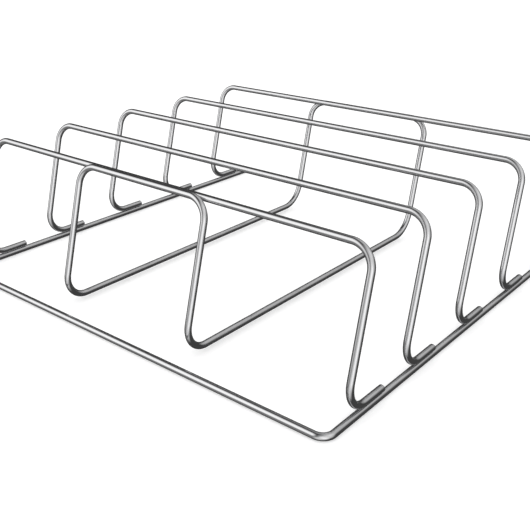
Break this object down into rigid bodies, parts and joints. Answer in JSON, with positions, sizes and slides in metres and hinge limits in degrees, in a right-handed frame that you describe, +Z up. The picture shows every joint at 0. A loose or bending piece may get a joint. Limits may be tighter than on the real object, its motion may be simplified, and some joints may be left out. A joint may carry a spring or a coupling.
{
  "type": "rib rack",
  "caption": "Wire rib rack: leaning hoops on an open-backed base frame, with a cradle loop that runs under them, to stand slabs of ribs upright on a grill or in an oven.",
  "frame": {"origin": "centre of the footprint, on the surface that the base frame lies on", "axes": "+Z up, +Y from the closed front bar to the open rear, the way the hoops lean, +X to the right seen from the front"},
  "size_m": [0.292, 0.2998, 0.0889],
  "materials": {
    "bright_wire": "bright polished steel wire, faint lines along it from drawing"
  },
  "bodies": {
    "root": {"base_frame": "bright_wire", "rib_hoop_1": "bright_wire", "rib_hoop_2": "bright_wire", "rib_hoop_3": "bright_wire", "rib_hoop_4": "bright_wire", "rib_hoop_5": "bright_wire", "centre_cradle": "bright_wire"}
  },
  "joints": []
}
